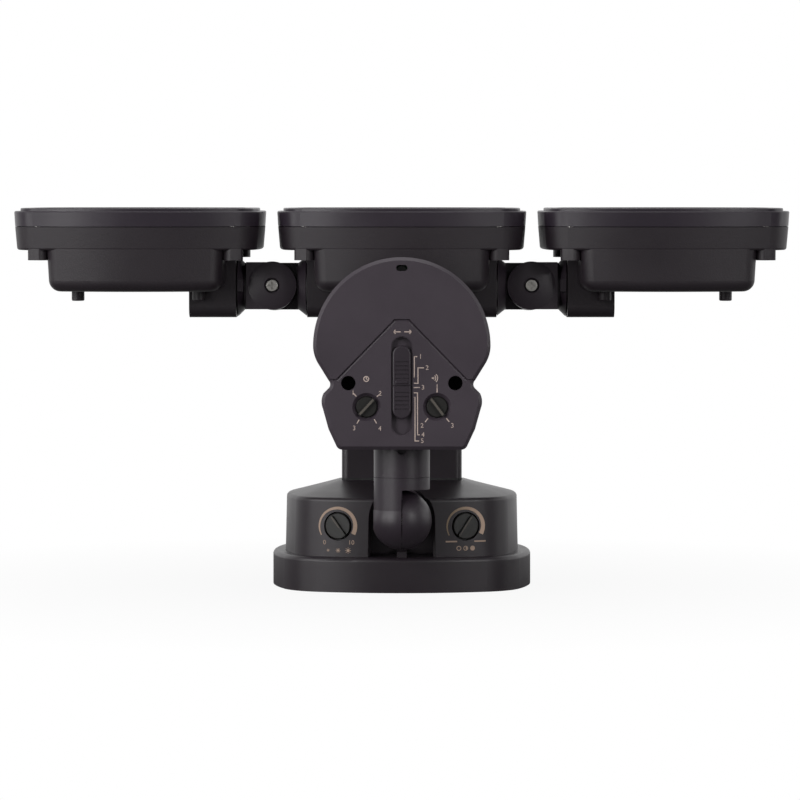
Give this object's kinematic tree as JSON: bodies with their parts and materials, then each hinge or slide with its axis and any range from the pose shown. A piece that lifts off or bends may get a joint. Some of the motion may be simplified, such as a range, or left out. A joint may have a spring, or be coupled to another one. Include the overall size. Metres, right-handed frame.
{
  "type": "motion sensor security light",
  "caption": "Wall or eave security light: round-cornered canopy, riser, row of rectangular lamp heads on knuckled arms, and a motion sensor on a ball pivot with dials.",
  "frame": {"origin": "centre of the canopy's wall face", "axes": "+Z leaves the wall, +X along the row of lamp heads, -Y the side with the dials (down on a wall)"},
  "size_m": [0.3622, 0.153, 0.1784],
  "materials": {
    "bronze_textured_plastic": "fine textured, dark bronze",
    "bronze_satin_plastic": "satin, dark bronze",
    "dial_plastic": "satin, near black brown",
    "rubber_seal": "matt",
    "zinc_plated_steel": "bright zinc",
    "clear_polycarbonate": "clear, lightly frosted inside",
    "lens_polyethylene": "milky, moulded facets inside",
    "white_circuit_board": "white solder mask",
    "led_phosphor": "yellow phosphor in a white frame",
    "green_circuit_board": "solder mask",
    "driver_plastic": "moulded white",
    "metal_can": "nickel plated",
    "dark_sensor_window": "glossy",
    "aluminium_tube": "drawn"
  },
  "bodies": {
    "base": {"canopy_shell": "bronze_satin_plastic", "wall_gasket": "rubber_seal", "mounting_plate": "zinc_plated_steel", "canopy_screws": "zinc_plated_steel", "driver_case": "driver_plastic", "driver_board": "green_circuit_board", "dial_pots": "dial_plastic", "riser_column": "bronze_satin_plastic", "riser_gasket": "rubber_seal", "riser_screws": "zinc_plated_steel", "cross_tube": "aluminium_tube", "tube_screw": "zinc_plated_steel", "left_inner_knuckle": "bronze_satin_plastic", "right_inner_knuckle": "bronze_satin_plastic", "knuckle_screws": "zinc_plated_steel", "knuckle_nuts": "zinc_plated_steel"},
    "centre_head": {"centre_housing": "bronze_textured_plastic", "centre_bezel": "bronze_satin_plastic", "centre_lens": "clear_polycarbonate", "centre_lens_gasket": "rubber_seal", "centre_led_board": "white_circuit_board", "centre_leds": "led_phosphor", "centre_bezel_screws": "zinc_plated_steel"},
    "left_arm": {"left_outer_knuckle": "bronze_satin_plastic", "left_roll_nut": "zinc_plated_steel", "left_roll_seal": "rubber_seal"},
    "right_arm": {"right_outer_knuckle": "bronze_satin_plastic", "right_roll_nut": "zinc_plated_steel", "right_roll_seal": "rubber_seal"},
    "left_head": {"left_housing": "bronze_textured_plastic", "left_bezel": "bronze_satin_plastic", "left_lens": "clear_polycarbonate", "left_lens_gasket": "rubber_seal", "left_led_board": "white_circuit_board", "left_leds": "led_phosphor", "left_bezel_screws": "zinc_plated_steel"},
    "right_head": {"right_housing": "bronze_textured_plastic", "right_bezel": "bronze_satin_plastic", "right_lens": "clear_polycarbonate", "right_lens_gasket": "rubber_seal", "right_led_board": "white_circuit_board", "right_leds": "led_phosphor", "right_bezel_screws": "zinc_plated_steel"},
    "sensor_pivot": {"sensor_ball": "bronze_satin_plastic", "ball_nut": "zinc_plated_steel", "pivot_screw": "zinc_plated_steel"},
    "sensor_stem": {"sensor_arm": "bronze_satin_plastic", "stem_nut": "zinc_plated_steel"},
    "sensor": {"sensor_shell": "bronze_satin_plastic", "sensor_cover": "bronze_satin_plastic", "pir_lens": "lens_polyethylene", "sensor_board": "green_circuit_board", "pir_element": "metal_can", "photocell": "dark_sensor_window", "sensor_screws": "zinc_plated_steel"},
    "light_level": {"light_level_dial": "dial_plastic"},
    "colour_temperature": {"colour_temperature_dial": "dial_plastic"},
    "time": {"time_dial": "dial_plastic"},
    "sensitivity": {"sensitivity_dial": "dial_plastic"},
    "mode": {"mode_slider": "bronze_satin_plastic"}
  },
  "joints": [
    {"name": "centre_tilt", "type": "hinge", "parent": "base", "child": "centre_head", "pos_m": [0, 0, 0.1394], "axis": [1, 0, 0], "range_deg": [-28, 9]},
    {"name": "left_pan", "type": "hinge", "parent": "base", "child": "left_arm", "pos_m": [-0.0606, 0, 0.1394], "axis": [0, -1, 0], "range_deg": [0, 60]},
    {"name": "right_pan", "type": "hinge", "parent": "base", "child": "right_arm", "pos_m": [0.0606, 0, 0.1394], "axis": [0, 1, 0], "range_deg": [0, 60]},
    {"name": "left_roll", "type": "hinge", "parent": "left_arm", "child": "left_head", "pos_m": [-0.0769, 0, 0.1394], "axis": [1, 0, 0], "range_deg": [-30, 22]},
    {"name": "right_roll", "type": "hinge", "parent": "right_arm", "child": "right_head", "pos_m": [0.0769, 0, 0.1394], "axis": [1, 0, 0], "range_deg": [-30, 22]},
    {"name": "sensor_swing", "type": "hinge", "parent": "base", "child": "sensor_pivot", "pos_m": [0, -0.0333, 0.0335], "axis": [0, 1, 0], "range_deg": [-20, 20]},
    {"name": "sensor_tilt", "type": "hinge", "parent": "sensor_pivot", "child": "sensor_stem", "pos_m": [0, -0.0675, 0.0335], "axis": [1, 0, 0], "range_deg": [0, 60]},
    {"name": "sensor_turn", "type": "hinge", "parent": "sensor_stem", "child": "sensor", "pos_m": [0, -0.0675, 0.05275], "axis": [0, 0, 1], "range_deg": [-15, 15]},
    {"name": "light_level_turn", "type": "hinge", "parent": "base", "child": "light_level", "pos_m": [-0.029, -0.05024, 0.0296], "axis": [0.2589, 0.9659, 0], "range_deg": [-280, 0]},
    {"name": "colour_temperature_turn", "type": "hinge", "parent": "base", "child": "colour_temperature", "pos_m": [0.029, -0.05024, 0.0296], "axis": [-0.2589, 0.9659, 0], "range_deg": [0, 280]},
    {"name": "time_turn", "type": "hinge", "parent": "sensor", "child": "time", "pos_m": [-0.0155, -0.0914, 0.0847], "axis": [0, 1, 0], "range_deg": [0, 280]},
    {"name": "sensitivity_turn", "type": "hinge", "parent": "sensor", "child": "sensitivity", "pos_m": [0.0155, -0.0914, 0.0847], "axis": [0, 1, 0], "range_deg": [-280, 0]},
    {"name": "mode_slide", "type": "slide", "parent": "sensor", "child": "mode", "axis": [0, 0, 1], "range_m": [-0.0054, 0.0032]}
  ]
}
